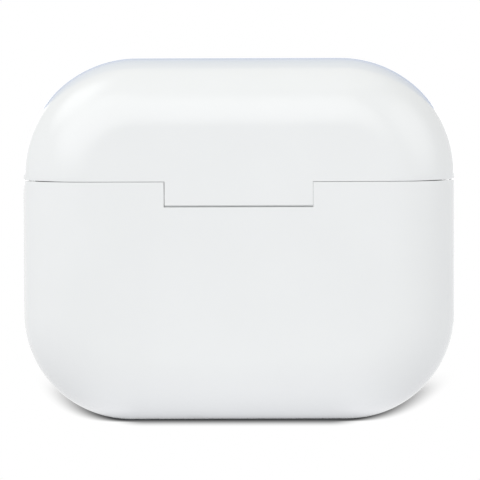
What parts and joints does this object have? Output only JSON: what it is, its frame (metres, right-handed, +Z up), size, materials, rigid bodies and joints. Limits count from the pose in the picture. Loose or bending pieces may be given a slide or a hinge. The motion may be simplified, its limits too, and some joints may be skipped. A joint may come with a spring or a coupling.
{
  "type": "wireless earbuds case",
  "caption": "Pebble-shaped charging case for stem earbuds, with a hinged lid, inner cradle with wells and sprung contacts, magnets, cell, board and a charging socket in its foot.",
  "frame": {"origin": "middle of the flat foot that the case stands on", "axes": "+X to the right seen from the indicator side, +Y towards the hinge at the back, +Z up"},
  "size_m": [0.0544, 0.0214, 0.0456],
  "materials": {
    "gloss_white": "gloss",
    "inner_white": "satin",
    "steel": "satin",
    "dark_steel": "satin",
    "nickel": "bright",
    "gold_plate": "bright",
    "board_green": "satin",
    "black_plastic": "matte",
    "cell_foil": "satin",
    "foam": "matte",
    "lamp_resin": "gloss",
    "diffuser": "satin"
  },
  "bodies": {
    "base": {"base_shell": "gloss_white", "cradle": "inner_white", "hinge_pins": "steel", "base_magnets": "nickel", "bud_magnets": "nickel", "contact_barrels": "gold_plate", "main_board": "board_green", "board_screws": "dark_steel", "port_shell": "steel", "port_tongue": "black_plastic", "battery": "cell_foil", "battery_tape": "foam", "battery_tabs": "nickel", "charge_chip": "black_plastic", "control_chip": "black_plastic", "sensor_board": "board_green", "lid_sensor": "black_plastic", "indicator_led": "lamp_resin", "light_pipe": "diffuser"},
    "lid": {"lid_shell": "gloss_white", "lid_liner": "inner_white", "lid_magnets": "nickel"},
    "left_front_plunger": {"left_front_contact": "gold_plate"},
    "left_back_plunger": {"left_back_contact": "gold_plate"},
    "right_front_plunger": {"right_front_contact": "gold_plate"},
    "right_back_plunger": {"right_back_contact": "gold_plate"}
  },
  "joints": [
    {"name": "lid_hinge", "type": "hinge", "parent": "base", "child": "lid", "pos_m": [0, 0.0097, 0.02845], "axis": [-1, 0, 0], "range_deg": [0, 100]},
    {"name": "left_front_press", "type": "slide", "parent": "base", "child": "left_front_plunger", "axis": [0, 0, -1], "range_m": [0, 0.0008], "stiffness_N_per_m": 500, "springref_m": -0.0004},
    {"name": "left_back_press", "type": "slide", "parent": "base", "child": "left_back_plunger", "axis": [0, 0, -1], "range_m": [0, 0.0008], "stiffness_N_per_m": 500, "springref_m": -0.0004},
    {"name": "right_front_press", "type": "slide", "parent": "base", "child": "right_front_plunger", "axis": [0, 0, -1], "range_m": [0, 0.0008], "stiffness_N_per_m": 500, "springref_m": -0.0004},
    {"name": "right_back_press", "type": "slide", "parent": "base", "child": "right_back_plunger", "axis": [0, 0, -1], "range_m": [0, 0.0008], "stiffness_N_per_m": 500, "springref_m": -0.0004}
  ]
}
